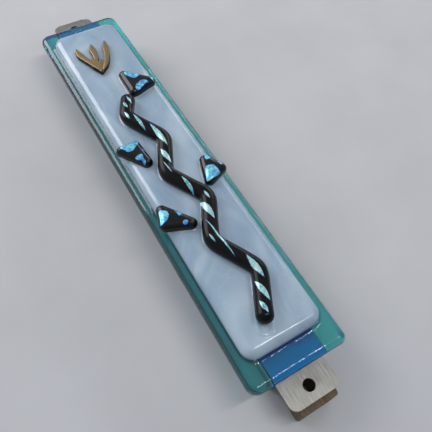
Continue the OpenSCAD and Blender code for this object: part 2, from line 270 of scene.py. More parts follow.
def kiln_glass(name, skin, second, mask, wave, depth, tint=None, density=0.0):
    """Kiln-formed glass, its fire-polished skin glossy with a slow, barely visible wave. With a tint it is
    clear and its colour lies in its depth, so that edges and thick places look darker; without one it is
    dense and shows its skin. The mask lays a second colour over the first."""
    material, tree, at = new_material(name)
    wander = add(tree, "ShaderNodeTexNoise", Vector=at, Scale=per_mm(wave), Detail=0.0)
    blend = add(tree, "ShaderNodeMix", {"Factor": mask(tree, at), 6: skin, 7: second}, data_type="RGBA")
    volume = tint and add(tree, "ShaderNodeVolumeAbsorption", Color=(*tint, 1.0), Density=density)
    return finish_material(
        material, wander, 0.3, depth, volume, Base_Color=blend, Roughness=0.02, IOR=1.52,
        Transmission_Weight=1.0 if tint else 0.0, Coat_Weight=0.3, Coat_Roughness=0.02,
    )


def painted_refraction_blue(tree, at):
    """Painted refraction: how much blue the mesh lays on the glass where it would show the blue strip,
    its surroundings and their shade through it.
    """
    return add(tree, "ShaderNodeAttribute", attribute_name="blue").outputs["Fac"]


def painted_caustic_threads(tree, at):
    """Fine pale wavy threads of painted light: caustic lines of light over the blue strip."""
    across = add(tree, "ShaderNodeMapping", Vector=at, Scale=(0.35, 1.0, 1.0), Rotation=(0, 0.35, 0))
    return threads(tree, across, 14, 0.012, 0.8)


def opal_glass(base, shade, wisp):
    """Opal glass, slumped in the kiln: milky and pale blue, with faint wisps drawn out along the sheet and
    a fire-polished skin that mirrors softly."""
    material, tree, at = new_material("opal glass, kiln slumped")
    along = add(tree, "ShaderNodeMapping", Vector=at, Scale=(1.0, 1.0, 0.45), Rotation=(0.0, 0.3, 0.0))
    cloud = add(
        tree, "ShaderNodeTexNoise", Vector=along, Scale=per_mm(24), Detail=3.0, Roughness=0.55, Distortion=1.2
    )
    body = add(tree, "ShaderNodeValToRGB", Fac=cloud, stops=[(0.3, shade), (0.5, base), (0.72, wisp)])
    line = threads(tree, along, 16, 0.01, 1.8)
    faint = add(tree, "ShaderNodeMath", {0: line, 1: 0.35}, operation="MULTIPLY")
    blend = add(tree, "ShaderNodeMix", {"Factor": faint, 6: body, 7: wisp}, data_type="RGBA")
    soft = add(tree, "ShaderNodeTexNoise", Vector=at, Scale=per_mm(14), Detail=0.0)
    return finish_material(
        material, soft, 0.25, 0.2, Base_Color=blend, Roughness=0.06, IOR=1.52, Subsurface_Weight=0.3,
        Subsurface_Radius=(0.7, 0.9, 1.0), Subsurface_Scale=1.6 * MM, Coat_Weight=0.6, Coat_Roughness=0.02,
    )


def black_glass(name, dark, warm, dull, sheen, coat):
    """Black glass, pulled and fire polished: near black with a brown cast where it is drawn thin, its
    gloss broken by fine lines along the pull."""
    material, tree, at = new_material(name)
    pull = add(tree, "ShaderNodeMapping", Vector=at, Scale=(1.0, 1.0, 0.18))
    lines = add(tree, "ShaderNodeTexNoise", Vector=pull, Scale=per_mm(1.6), Detail=3.0)
    body = add(tree, "ShaderNodeValToRGB", Fac=lines, stops=[(0.35, dark), (0.72, warm)])
    gloss = add(tree, "ShaderNodeMapRange", Value=lines, To_Min=0.6 * dull, To_Max=1.4 * dull)
    return finish_material(
        material, lines, 0.3, 0.06, Base_Color=body, Roughness=gloss, IOR=1.5, Specular_IOR_Level=sheen,
        Coat_Weight=coat, Coat_Roughness=0.04,
    )


def dichroic(name, stops, rim, reach, grain, crinkle, shine):
    """Dichroic coating fused under clear glass: a thin metal film that flashes cyan and silver where it
    lies flat, turns deep blue towards its torn rim, and is crinkled like foil."""
    material, tree, at = new_material(name)
    creases = add(tree, "ShaderNodeTexNoise", Vector=at, Scale=per_mm(grain), Detail=2.0, Distortion=2.0)
    patches = add(tree, "ShaderNodeTexNoise", Vector=at, Scale=per_mm(grain * 3), Detail=1.0)
    mottle = add(tree, "ShaderNodeMath", {0: creases, 1: patches}, operation="ADD")
    spread = add(tree, "ShaderNodeMapRange", Value=mottle, From_Min=0.7, From_Max=1.3)
    film = add(tree, "ShaderNodeValToRGB", Fac=spread, stops=stops)
    line = threads(tree, at, grain * 1.2, 0.03, 2.5)
    lit = add(tree, "ShaderNodeMix", {"Factor": line, 6: film, 7: "#D6FFF6"}, data_type="RGBA")
    inside = add(tree, "ShaderNodeAttribute", attribute_name="inside").outputs["Fac"]
    ragged = add(tree, "ShaderNodeMath", {0: creases, 1: 0.5, 2: inside}, operation="MULTIPLY_ADD")
    band = add(tree, "ShaderNodeMapRange", Value=ragged, From_Min=0.22, From_Max=0.22 + reach)
    blend = add(tree, "ShaderNodeMix", {"Factor": band, 6: rim, 7: lit}, data_type="RGBA")
    return finish_material(
        material, creases, 0.8, crinkle, Base_Color=blend, Metallic=shine, Roughness=0.3, Coat_Weight=0.4,
        Coat_Roughness=0.05,
    )


def cast_bronze(light, middle, dark):
    """Cast bronze, tumbled and patinated: warm and bright where it was rubbed on top, olive brown in the
    hollows and down its sides, with the fine pits of a casting."""
    material, tree, at = new_material("antique bronze, cast and tumbled")
    worn = add(tree, "ShaderNodeAttribute", attribute_name="worn").outputs["Fac"]
    patches = add(tree, "ShaderNodeTexNoise", Vector=at, Scale=per_mm(3.5), Detail=4.0)
    level = add(tree, "ShaderNodeMath", {0: patches, 1: 0.7, 2: worn}, operation="MULTIPLY_ADD")
    share = add(tree, "ShaderNodeMapRange", Value=level, From_Min=0.2, From_Max=1.4)
    body = add(tree, "ShaderNodeValToRGB", Fac=share, stops=[(0.17, dark), (0.54, middle), (0.7, light)])
    pits = add(tree, "ShaderNodeTexNoise", Vector=at, Scale=per_mm(0.5), Detail=3.0)
    gloss = add(tree, "ShaderNodeMapRange", Value=patches, To_Min=0.28, To_Max=0.5)
    return finish_material(material, pits, 0.35, 0.07, Base_Color=body, Roughness=gloss, Metallic=0.85)


def brushed_metal(base, shade):
    """Aluminium strip, brushed along its length: fine bright and dull lines run with the strip, drawn
    coarser than the real grit so that they show, and spread each highlight across it."""
    material, tree, at = new_material("aluminium strip, brushed")
    stretched = add(tree, "ShaderNodeMapping", Vector=at, Scale=(1.0, 1.0, 0.03))
    lines = add(tree, "ShaderNodeTexNoise", Vector=stretched, Scale=per_mm(0.22), Detail=4.0)
    blotch = add(tree, "ShaderNodeTexNoise", Vector=at, Scale=per_mm(7), Detail=2.0)
    both = add(tree, "ShaderNodeMath", {0: blotch, 1: 0.35, 2: lines}, operation="MULTIPLY_ADD")
    body = add(tree, "ShaderNodeValToRGB", Fac=both, stops=[(0.45, shade), (0.85, base)])
    gloss = add(tree, "ShaderNodeMapRange", Value=lines, To_Min=0.3, To_Max=0.55)
    return finish_material(material, lines, 0.4, 0.04, Base_Color=body, Roughness=gloss, Metallic=0.7)


def stained_wood(light, dark):
    """Walnut block, sawn and stained: growth lines run along it, a little waved, under a satin oil."""
    material, tree, at = new_material("walnut, sawn and oiled")
    along = add(tree, "ShaderNodeMapping", Vector=at, Scale=(1.0, 1.0, 0.12))
    grain = add(
        tree, "ShaderNodeTexNoise", Vector=along, Scale=per_mm(1.4), Detail=5.0, Distortion=0.6
    )
    body = add(tree, "ShaderNodeValToRGB", Fac=grain, stops=[(0.32, dark), (0.6, light), (0.75, dark)])
    return finish_material(material, grain, 0.4, 0.1, Base_Color=body, Roughness=0.5)


def mottled(name, light, dark, grain, depth, rough):
    """A plain material with its own grain: a noise as wide as the grain shades it between two tones and
    raises it by the given depth."""
    material, tree, at = new_material(name)
    speck = add(tree, "ShaderNodeTexNoise", Vector=at, Scale=per_mm(grain), Detail=4.0)
    body = add(tree, "ShaderNodeValToRGB", Fac=speck, stops=[(0.35, dark), (0.65, light)])
    return finish_material(material, speck, 0.5, depth, Base_Color=body, Roughness=rough)


def pale_card(light, dark):
    """Matt pale card under the case, left out from behind so that the case can be looked at from there."""
    material = mottled("matt card, pale grey", light, dark, 40, 0.05, 0.85)
    tree = material.node_tree
    shader, output = tree.nodes["Principled BSDF"], tree.nodes["Material Output"]
    behind = add(tree, "ShaderNodeNewGeometry").outputs["Backfacing"]
    nothing = add(tree, "ShaderNodeBsdfTransparent")
    both = add(tree, "ShaderNodeMixShader", {0: behind, 1: shader, 2: nothing})
    tree.links.new(both.outputs["Shader"], output.inputs["Surface"])
    return material


def clear_film():
    """Clear polyester film, rolled into a sleeve: almost invisible but for the bright lines of its gloss."""
    material, tree, at = new_material("clear polyester film, rolled")
    wave = add(tree, "ShaderNodeTexNoise", Vector=at, Scale=per_mm(8), Detail=1.0)
    return finish_material(
        material, wave, 0.3, 0.1, Base_Color="#FFFFFF", Roughness=0.04, IOR=1.45, Transmission_Weight=1.0
    )


def dress_node(name, material, bevel=0.0):
    """Gives a kept CAD node its material, and where asked a small bevel that catches the light."""
    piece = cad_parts[name]
    piece.data.materials.clear()
    piece.data.materials.append(material)
    if bevel:
        edge = piece.modifiers.new("eased edges", "BEVEL")
        edge.width, edge.segments, edge.limit_method = bevel * MM, 2, "ANGLE"
        edge.angle_limit = np.radians(50)


# ---- base glass and panel


GLASS_CORNERS = (4.0, 2.6)
PANEL_CORNER = 5.0
FRONT_ROUND = 2.4
BACK_ROUND = 1.6
PANEL_ROUND = 3.4
SEAT_GAP = 0.02
GLASS_STEP = 1.1
PANEL_STEP = 0.42
FOOT_RISE = 0.45
FOOT_REACH = 1.7
FOOT_LINES = (-1.6, -0.6, 0, 0.05, 0.15, 0.3, 0.5, 0.75, 1.0, 1.3, FOOT_REACH)
COLLAR_RISE = 0.35
COLLAR_REACH = 0.7


def glass_levels():
    """Depths of the base glass and the panel: its back, the front of its back layer, its front, the
    panel's front."""
    strip, sheet, panel = (node_box(n) for n in ("blue_strip", "front_sheet", "opal_panel"))
    return -strip[1][1], -strip[0][1], -sheet[0][1], -panel[0][1]


def base_glass(settings, material):
    """Two surfaces over one rounded plan. The front stands back by a quarter round at the rim, so does
    the back, and across the strip's width the back is pressed forward to hold the blue strip. Round the
    panel the front rises by 0.45 (1 - d/1.7)^2.2 at d from it, where the two glasses have run together.
    The attribute "blue" is painted refraction: blue laid on the glass where it would show the blue strip and
    its surroundings through it, and a dark navy line of shade seen through its lower and left edge."""
    high = node_box("front_sheet")[1][[0, 2]]
    strip_low, strip_high = node_box("blue_strip")
    panel = node_box("opal_panel")[1][[0, 2]]
    back, layer, front, _ = glass_levels()
    foot = np.array(FOOT_LINES)
    lines_x, lines_z = (np.concatenate([size + foot, -size - foot]) for size in panel)
    wall = (strip_low[0], strip_high[0])
    lines_x = np.concatenate([lines_x, [wall[0] - SEAT_GAP, *wall, wall[1] + SEAT_GAP]])
    x, z, inside = rounded_plan(high, GLASS_CORNERS, FRONT_ROUND, GLASS_STEP, lines_x, lines_z)
    wave = settings.glass_wave * ripple(x, z, 34, 3) * np.clip(inside / 4, 0, 1)
    off = -inside_plan(x, z, panel, PANEL_CORNER)
    near = np.clip(off, 0, None)
    run = FOOT_RISE * np.clip(1 - near / FOOT_REACH, 0, 1) ** 2.2 * np.clip(off + 1.6, 0, 1)
    front_depth = front - FRONT_ROUND + quarter_round(inside, FRONT_ROUND) - np.abs(wave) + run
    back_depth = back + BACK_ROUND - quarter_round(inside, BACK_ROUND)
    groove = (x > wall[0] - 0.01) & (x < wall[1] + 0.01)
    back_depth = np.where(groove, np.maximum(back_depth, layer + SEAT_GAP), back_depth)

    # Painted refraction and shade: blue along the left margin and round the panel's foot, where the glass
    # would show the blue strip and its surroundings, and a dark navy line on the rim to the left and below
    leftward = np.clip(-x / 8, 0, 1)
    upward = np.clip((z + high[1]) / (2 * high[1]), 0, 1)
    where = np.maximum(leftward, np.clip((-z - 89) / 4, 0, 1))
    painted_foot_blue = np.maximum(leftward, np.clip((-z - 78) / 6, 0, 1)) * np.clip(1 - near / 1.4, 0, 1)
    margin = np.maximum.reduce([
        np.clip((-x - 12) / 5, 0, 1) * (0.2 + 0.5 * upward),
        where * np.clip((0.5 - inside) / 0.4, 0, 1),
        0.85 * painted_foot_blue * (off > -1.7),
    ])
    rim = 0.9 * where * (inside < 1.3)
    make_piece(
        "base_glass", *sheet_pair(place(x, z, front_depth), place(x, z, back_depth)), material, "case",
        ["front_sheet", "side_strip_left", "side_strip_right"], "aqua_glass",
        {"blue": np.concatenate([margin.ravel(), rim.ravel()])},
    )


def blue_strip(material):
    """Two surfaces over the strip's own plan, the back one rounded only at the strip's two ends."""
    low, high = node_box("blue_strip")
    back, layer = glass_levels()[:2]
    xs = np.linspace(low[0] + SEAT_GAP, high[0] - SEAT_GAP, 25)
    x, z = np.meshgrid(xs, edge_lines(high[2], BACK_ROUND, GLASS_STEP))
    back_depth = back + BACK_ROUND - quarter_round(high[2] - np.abs(z), BACK_ROUND)
    shape = sheet_pair(place(x, z, layer), place(x, z, back_depth))
    make_piece("blue_strip_glass", *shape, material, "case", ["blue_strip"], "blue_glass")


def panel_skin(x, z, inside, settings):
    """Depth of the panel's front: a slumped quarter round at the rim, a slow wave over the face, and a
    collar that rises by 0.35 (1 - d/0.7)^2 at d from the foot of the cane or of a chip."""
    top = glass_levels()[3]
    wave = settings.panel_wave * ripple(x, z, 27, 8) * np.clip(inside / 6, 0, 1)
    off = [cane_gap(x, z) - 0.95 * CANE_R] + [0.15 - chip_inside(chip_corners(n), x, z) for n in CHIPS]
    off = np.minimum.reduce(off)
    collar = COLLAR_RISE * np.clip(1 - np.clip(off, 0, None) / COLLAR_REACH, 0, 1) ** 2
    collar *= np.clip(off + 1.5, 0, 1) * np.clip(inside / PANEL_ROUND, 0, 1)
    return top - PANEL_ROUND + quarter_round(inside, PANEL_ROUND) - np.abs(wave) + collar


def opal_panel(settings, material):
    """The panel's front skin over a flat back, just clear of the base glass."""
    seat = glass_levels()[2] + SEAT_GAP
    half = node_box("opal_panel")[1][[0, 2]]
    x, z, inside = rounded_plan(half, (PANEL_CORNER, PANEL_CORNER), PANEL_ROUND, PANEL_STEP)
    shape = sheet_pair(place(x, z, panel_skin(x, z, inside, settings)), place(x, z, seat))
    make_piece("opal_panel_glass", *shape, material, "case", ["opal_panel"], "opal_glass")


# ---- cane


CANE_BENDS = np.array(
    [[-1.6, 30.5], [-6.0, 22.5], [2.9, 5.2], [-4.9, -10.8], [4.3, -27.3], [-4.5, -44.3], [4.6, -61.2],
     [-3.1, -76.2]]
)
CANE_R = 2.9
CANE_SINK = 0.9
CANE_SPREAD = 1.07


def cane_line():
    """The cane's middle line, how far along it each point lies, and its length: the path through its
    bends, made longer at both ends, each point replaced by the mean of its neighbours along the path
    under a bell curve, which turns the corners into round bends."""
    spacing, soften, window, extra = 0.25, 2.1, 24, 8.0
    ends = CANE_BENDS[[1, -2]] - CANE_BENDS[[0, -1]]
    ends *= extra / np.linalg.norm(ends, axis=1)[:, None]
    path = np.concatenate([CANE_BENDS[:1] - ends[:1], CANE_BENDS, CANE_BENDS[-1:] - ends[1:]])
    reach = measured(path)
    at = np.arange(0, reach[-1], spacing)
    points = spots(at, reach, path)
    padded = np.pad(points, ((window, window), (0, 0)), mode="edge")
    weights = np.exp(-((np.arange(-window, window + 1) * spacing / soften) ** 2) / 2)
    smooth = sum(w * padded[o : o + len(points)] for o, w in enumerate(weights)) / weights.sum()
    margin = extra - 0.5 - CANE_R
    keep = (at >= margin) & (at <= reach[-1] - margin)
    return smooth[keep], at[keep] - extra, reach[-1] - 2 * extra


def cane_levels():
    """Depth of the panel's face and of the cane's middle line."""
    top = glass_levels()[3]
    return top, top + CANE_R - CANE_SINK


def twist_cane(material):
    """A round section carried along the middle line, its radius sqrt(r*r - d*d) within r of either end,
    with a faint twisted ridge, spread a little wider than it is high, and cut flat where it has slumped
    onto the panel."""
    line, at, length = cane_line()
    top, axis = cane_levels()
    stations = np.concatenate(
        [-CANE_R * np.cos(np.linspace(0.06, np.pi / 2, 14)), np.arange(0.3, length, 0.3),
         length + CANE_R * np.sin(np.linspace(0.0, np.pi / 2 - 0.06, 14))]
    )
    beyond = np.clip(-stations, 0, None) + np.clip(stations - length, 0, None)
    radius = np.sqrt(np.clip(CANE_R**2 - beyond**2, 1e-4, None))
    turn = np.linspace(0, 2 * np.pi, 56, endpoint=False)
    ridge = 1 - 0.012 + 0.012 * np.cos(3 * turn[None] + stations[:, None] / 2.2)
    x, z = carried(spots(stations, at, line), CANE_SPREAD * radius[:, None] * ridge * np.cos(turn))
    depth = np.maximum(axis + radius[:, None] * ridge * np.sin(turn), top - 0.12)
    make_piece(
        "twist_cane_glass", *tube(place(x, z, depth)), material, "case", ["twist_cane"], "black_glass"
    )


def cane_gap(x, z):
    """Distance of a place from the cane's middle line."""
    gap = np.full(x.shape, np.inf)
    for point in cane_line()[0][::2]:
        gap = np.minimum(gap, np.hypot(x - point[0], z - point[1]))
    return gap


def cane_skin(x, z):
    """Depth of the cane's front at a place: its axis plus sqrt(r*r - d*d), d being the distance to the
    middle line, held to its side where the place lies beyond it."""
    gap = np.clip(cane_gap(x, z) / CANE_SPREAD, 0, 0.985 * CANE_R)
    return cane_levels()[1] + np.sqrt(CANE_R**2 - gap**2)


# Middle across and up, length and greatest width of each stripe, and its bow to one side
CANE_LEAVES = [
    (-1.6, 28.4, 4.4, 1.3, 0.1), (-4.2, 26.3, 4.0, 1.4, 0.0), (-6.0, 20.8, 4.3, 1.3, 0.1),
    (-3.1, 15.5, 9.9, 1.5, 0.1), (0.7, 5.8, 13.9, 2.2, 0.3), (-1.7, -4.9, 8.0, 2.3, -0.1),
    (-3.7, -10.3, 6.6, 0.6, 0.0), (-0.8, -20.8, 9.0, 1.5, 0.3), (3.0, -28.2, 4.1, 1.2, 0.1),
    (0.1, -33.5, 9.9, 2.6, 0.3), (-1.8, -45.8, 18.0, 1.0, 0.2), (-4.4, -44.8, 4.3, 0.9, 0.0),
    (2.8, -60.9, 10.2, 2.4, 0.1), (0.2, -69.3, 8.5, 2.3, 0.1), (-2.5, -74.2, 4.9, 1.8, 0.0),
]


def cane_leaves(material):
    """Each stripe is a leaf over u from -1 to 1 along it and v from -1 to 1 across it: its half-width is
    (1 - |u|^2.2) of the greatest, roughened a little, it leans 5 degrees, and it lies on the cane's skin
    with a slightly raised middle."""
    u = np.sin(np.linspace(-np.pi / 2, np.pi / 2, 61))[:, None]
    v = np.linspace(-1, 1, 13)[None]
    lean = np.tan(np.radians(5.0))
    shapes, inside = [], []
    for number, (x0, z0, length, width, bow) in enumerate(CANE_LEAVES):
        ragged = 1 + 0.1 * ripple(u * length, np.sign(v) * 3 + number * 9.0, 2.4, 40 + number)
        half = np.maximum(width / 2 * 0.9 * (1 - np.abs(u) ** 1.8) * ragged, 0.02)
        x = x0 + lean * length / 2 * u + half * v + bow * (1 - u * u) - bow / 2
        z = z0 - length / 2 * u + 0 * v
        skin = cane_skin(x, z)
        lift = 0.015 + 0.05 * (1 - v**2) * (1 - u**4)
        shapes.append(sheet_pair(place(x, z, skin + lift), place(x, z, skin - 0.2)))
        rim = np.minimum(half * (1 - np.abs(v)) / 0.55, 1) * np.minimum((1 - np.abs(u)) * 5, 1)
        inside += [np.ravel(rim), np.ravel(rim)]
    make_piece(
        "cane_stripes_glass", *joined(shapes), material, "case", ["cane_stripes"], "dichroic",
        {"inside": np.concatenate(inside)},
    )


# ---- chips


# Foot corners of each chip, across and up
CHIPS = {
    "chip_1": [(3.4, 46.7), (12.8, 37.2), (3.1, 34.4)],
    "chip_2": [(-15.4, 7.8), (-8.8, 7.4), (-8.1, -3.1)],
    "chip_3": [(11.4, -11.2), (15.5, -18.3), (8.0, -21.5)],
    "chip_4": [(-13.9, -23.9), (-5.9, -35.0), (-15.9, -31.0)],
}
CHIP_R = 2.25
CHIP_H = 3.75
CHIP_WALL = 0.8
CHIP_SHOULDER = 3.2
CHIP_DIMPLE = 0.12
CHIP_SINK = 0.1


def chip_corners(name, sunk=0.3):
    """A chip's foot corners drawn in by the same distance from each side: they move towards the centre
    of the circle that touches all three sides, by that distance's share of its radius."""
    corners = np.asarray(CHIPS[name], float)
    sides = np.linalg.norm(np.roll(corners, -1, 0) - np.roll(corners, 1, 0), axis=1)
    centre = (corners * sides[:, None]).sum(0) / sides.sum()
    (ax, az), (bx, bz) = corners[1] - corners[0], corners[2] - corners[0]
    radius = abs(ax * bz - az * bx) / sides.sum()
    return centre + (corners - centre) * (1 - sunk / radius)


def chip_inside(corners, x, z):
    """How far inside a chip's outline a place lies, below zero outside it."""
    corners = np.asarray(corners, float)
    ahead = np.roll(corners, -1, 0) - corners
    spot = np.stack([x, z], -1)
    gap, side = np.full(x.shape, np.inf), np.full(x.shape, -np.inf)
    spin = np.sign(ahead[0, 0] * ahead[1, 1] - ahead[0, 1] * ahead[1, 0])
    for corner, edge in zip(corners, ahead):
        away = spot - corner
        share = np.clip((away @ edge) / (edge @ edge), 0, 1)
        gap = np.minimum(gap, np.linalg.norm(away - share[..., None] * edge, axis=-1))
        out = spin * (away[..., 0] * edge[1] - away[..., 1] * edge[0]) / np.linalg.norm(edge)
        side = np.maximum(side, out)
    return CHIP_R - np.where(side > 0, gap, -gap)


def chip_skin(corners, x, z, seed):
    """Height of a chip above the panel at a place: a wall of 0.8 mm, then a bulging shoulder that
    follows 1 - (1 - d/D)^2.1 to the power 1/2.1, d being the distance inside its outline and D 3.2 mm,
    and a soft dimpling of its top."""
    rise = np.clip(chip_inside(corners, x, z) / CHIP_SHOULDER, 0, 1)
    shoulder = (1 - (1 - rise) ** 2.1) ** (1 / 2.1)
    bulge = CHIP_H - CHIP_SINK - CHIP_WALL - CHIP_DIMPLE
    return CHIP_WALL + bulge * shoulder + CHIP_DIMPLE * ripple(x, z, 7, seed) * rise


def chip_outline(corners, count=120):
    """The rounded triangle: for each direction, the farthest corner that way, moved out by the corner
    radius, with straight runs filled in evenly along their length."""
    corners = np.asarray(corners, float)
    turn = np.linspace(0, 2 * np.pi, 721)
    facing = np.stack([np.cos(turn), np.sin(turn)], 1)
    far = corners[np.argmax(facing @ corners.T, axis=1)]
    loop = far + CHIP_R * facing
    reach = measured(loop)
    return spots(np.linspace(0, reach[-1], count, endpoint=False), reach, loop)


def chip(name, seed, material):
    """Rings of the outline drawn in towards its middle, lifted to the chip's skin, over a foot that is
    tucked in 0.25 mm under the wall, the mark of glass that has sat down in the kiln."""
    corners = chip_corners(name)
    outline = chip_outline(corners)
    middle = corners.mean(0)
    level = glass_levels()[3]
    out = outline - middle
    wobble = 1 - 0.012 + 0.012 * ripple(out[:, 0] * 2, out[:, 1] * 2, 9, seed + 50)
    out = out * wobble[:, None]
    size = np.linalg.norm(out, axis=1)[:, None]
    foot = [(1 - 0.25 / size, -CHIP_SINK), (1 - 0.1 / size, 0.12), (1 + 0 * size, 0.4)]
    rings = [place(*(middle + out * s).T, level + h + 0 * out[:, 0]) for s, h in foot]
    for share in 1 - np.concatenate([0.3 * np.linspace(0, 1, 14) ** 1.6, np.linspace(0.36, 0.98, 16)]):
        x, z = (middle + out * share).T
        rings.append(place(x, z, level + chip_skin(corners, x, z, seed)))
    make_piece(f"{name}_glass", *tube(np.array(rings)), material, "case", [name], "black_glass")


# Outlines of the film patches on each chip, across and up
PATCHES = {
    "chip_1": [
        [(3.7, 45.5), (5.2, 45.4), (7.3, 43.9), (9.2, 42), (8.1, 40.5), (6.5, 40.1), (5, 41.5),
         (3.9, 43.3)],
        [(4.7, 35.7), (4.3, 34.5), (4.7, 33.6), (7.1, 34.4), (9.8, 35.5), (10.7, 36.1), (9.3, 37.4),
         (7.5, 37.5), (5.9, 36.8)],
        [(12.7, 38.3), (13.6, 36.4), (13, 35.8), (12.4, 36.8)],
    ],
    "chip_2": [
        [(-14.8, 8.5), (-12.8, 9), (-10.5, 8.7), (-7.9, 7.5), (-8.9, 5.8), (-10.7, 4.4), (-12.7, 4.1),
         (-13.9, 5.2), (-14.9, 6.7)],
        [(-12.1, 0.5), (-10.9, 1.1), (-9.5, 1.2), (-9.1, 0.1), (-9.3, -1.7), (-9.5, -3.2), (-10.3, -2.6),
         (-10.6, -1.2)],
        [(-7.6, 3.6), (-7.3, 3.2), (-7.4, 2.3), (-7.9, 2.3)],
    ],
    "chip_3": [
        [(9, -16.7), (10, -15.9), (11.7, -16.3), (12.8, -17.6), (13.2, -19.4), (12.9, -20.9), (11, -21.6),
         (9.1, -22), (7.2, -22.2), (6.9, -21.3), (7.8, -19.1)],
        [(11.9, -10.9), (13, -11.2), (13.5, -12.6), (12.6, -13.4), (11.4, -13.4), (11.2, -12.4)],
        [(15, -15.4), (15.7, -16.3), (15.9, -17.7), (15.3, -18), (14.8, -17)],
    ],
    "chip_4": [
        [(-15.4, -25.6), (-14.5, -25.3), (-13.2, -26.3), (-12.6, -28), (-13.3, -29.3), (-14.7, -30.4),
         (-16.2, -30.8), (-17, -30.9), (-17.2, -30.1), (-16.4, -28.5)],
        [(-10.2, -27.6), (-8.9, -28.9), (-8.3, -30.3), (-9.6, -30.8), (-10, -29.5)],
        [(-9.5, -33.3), (-8.1, -33.5), (-8.5, -34.7), (-9.8, -34.5)],
    ],
}


def film_patches(name, seed, material):
    """Each patch runs over a share s from its middle out and round its outline, the outline passed
    through its points by a smooth closed curve and torn a little. It lies on the chip's skin, crumpled
    by a short ripple."""
    level, corners = glass_levels()[3], chip_corners(name)
    shapes, inside = [], []
    for number, points in enumerate(PATCHES[name]):
        points = np.asarray(points, float)
        spectrum = np.fft.fft(points[:, 0] + 1j * points[:, 1])
        rank = np.fft.fftfreq(len(points)) * len(points)
        turn = np.linspace(0, 2 * np.pi, 72, endpoint=False)
        loop = (spectrum[:, None] * np.exp(1j * rank[:, None] * turn[None])).sum(0) / len(points)
        middle = loop.mean()
        tear = 1 + 0.05 * ripple(loop.real, loop.imag, 1.6, seed + number)
        share = np.concatenate([np.linspace(0.02, 0.8, 12), [0.88, 0.94, 0.98, 1.0]])[:, None]
        spot = middle + (loop - middle)[None] * share * (1 + (tear - 1)[None] * share)
        x, z = spot.real, spot.imag
        skin = level + chip_skin(corners, x, z, seed)
        small = min(1.0, np.abs(loop - middle).mean())
        crumple = 0.05 * small * ripple(x, z, 1.3, seed + 20) * (1 - share**6)
        rings = np.concatenate(
            [place(x, z, skin + 0.05 + crumple), place(x[-1:], z[-1:], skin[-1:] - 0.05),
             place(x[:1], z[:1], skin[:1] - 0.06)]
        )
        shapes.append(tube(rings))
        rim = np.clip(np.abs(loop - middle)[None] * (1 - share) / 0.9, 0, 1)
        inside += [np.ravel(rim), np.zeros(72), np.ones(72)]
    make_piece(
        f"{name}_film", *joined(shapes), material, "case", [f"{name}_flakes"], "dichroic",
        {"inside": np.concatenate(inside)},
    )


# ---- letter


LETTER_ARMS = {
    "left": [(-4.3, 20.6), (-5.6, 13.2), (-1.2, 9.2), (0.0, 0.0)],
    "middle": [(2.9, 20.1), (1.4, 15.5), (2.6, 10.0), (-0.2, 6.5)],
    "right": [(9.5, 20.0), (7.2, 14.5), (7.5, 6.5), (0.0, 0.0)],
}
ARM_SHARES = [0, 0.12, 0.28, 0.5, 0.8, 1]
ARM_HALF_WIDTHS = [0.05, 0.85, 1.5, 1.3, 1.05, 0.1]
LETTER_FOOT = [(-2.0, 9.3), (-0.4, 10.2), (1.6, 7.2), (3.4, 8.3), (4.6, 6.4), (0.0, 0.0), (-2.4, 5.2)]


def letter(material):
    """Each arm is a section carried along a cubic curve: a flat back, sides that stand up and a slightly
    crowned top. The arms and the foot are then melted into one casting, and the attribute "worn" is the
    cube of how squarely its skin faces the front."""
    low, _ = node_box("letter_ornament")
    glue_low, _ = node_box("letter_glue")
    start_x, start_z, back, thick = low[0] + 4.56, low[2], -glue_low[1], -low[1] + glue_low[1]
    rise = np.array([0.0, 0.4, 0.8, 0.93, 0.98, 1.0, 0.98, 0.93, 0.8, 0.4, 0.0])
    across = np.array([1.0, 1.02, 1.0, 0.9, 0.6, 0.0, -0.6, -0.9, -1.0, -1.02, -1.0])
    shapes = []
    for points in LETTER_ARMS.values():
        p = np.asarray(points, float)
        t = np.linspace(0, 1, 70)[:, None]
        line = (1 - t) ** 3 * p[0] + 3 * t * (1 - t) ** 2 * p[1] + 3 * t**2 * (1 - t) * p[2] + t**3 * p[3]
        half = np.maximum(np.interp(t[:, 0], ARM_SHARES, ARM_HALF_WIDTHS), 0.05)[:, None]
        x, z = carried(line + (start_x, start_z), half * across)
        height = np.minimum(half / 0.5, 1) * rise * thick
        shapes.append(tube(place(x, z, back + height)))
    foot = np.asarray(LETTER_FOOT) + (start_x, start_z)
    rings = [
        place(*(foot.mean(0) + (foot - foot.mean(0)) * s).T, back + h * thick + np.zeros(len(foot)))
        for s, h in [(1, 0), (1, 0.6), (0.93, 0.9), (0.5, 1.0), (0.05, 1.0)]
    ]
    shapes.append(tube(np.array(rings)))
    rough = make_piece("letter_rough", *joined(shapes), material, "case", [], "bronze")
    melt = rough.modifiers.new("melt", "REMESH")
    melt.mode, melt.voxel_size = "VOXEL", 0.16 * MM
    soften = rough.modifiers.new("soften", "SMOOTH")
    soften.factor, soften.iterations = 0.5, 7
    cast = bpy.data.meshes.new_from_object(rough.evaluated_get(bpy.context.evaluated_depsgraph_get()))
    points = np.empty(len(cast.vertices) * 3)
    cast.vertices.foreach_get("co", points)
    points = points.reshape(-1, 3) / MM
    bpy.data.objects.remove(rough)
    faces = np.empty(len(cast.loops), int)
    cast.loops.foreach_get("vertex_index", faces)
    points[:, 1] = -np.clip(-points[:, 1], back, back + thick)
    facing = np.empty(len(cast.vertices) * 3)
    cast.vertex_normals.foreach_get("vector", facing)
    worn = np.clip(-facing.reshape(-1, 3)[:, 1], 0, 1) ** 3
    make_piece(
        "letter_casting", points, [faces.reshape(-1, 4)], material, "case", ["letter_ornament"], "bronze",
        {"worn": worn},
    )


# ---- scroll and cradles


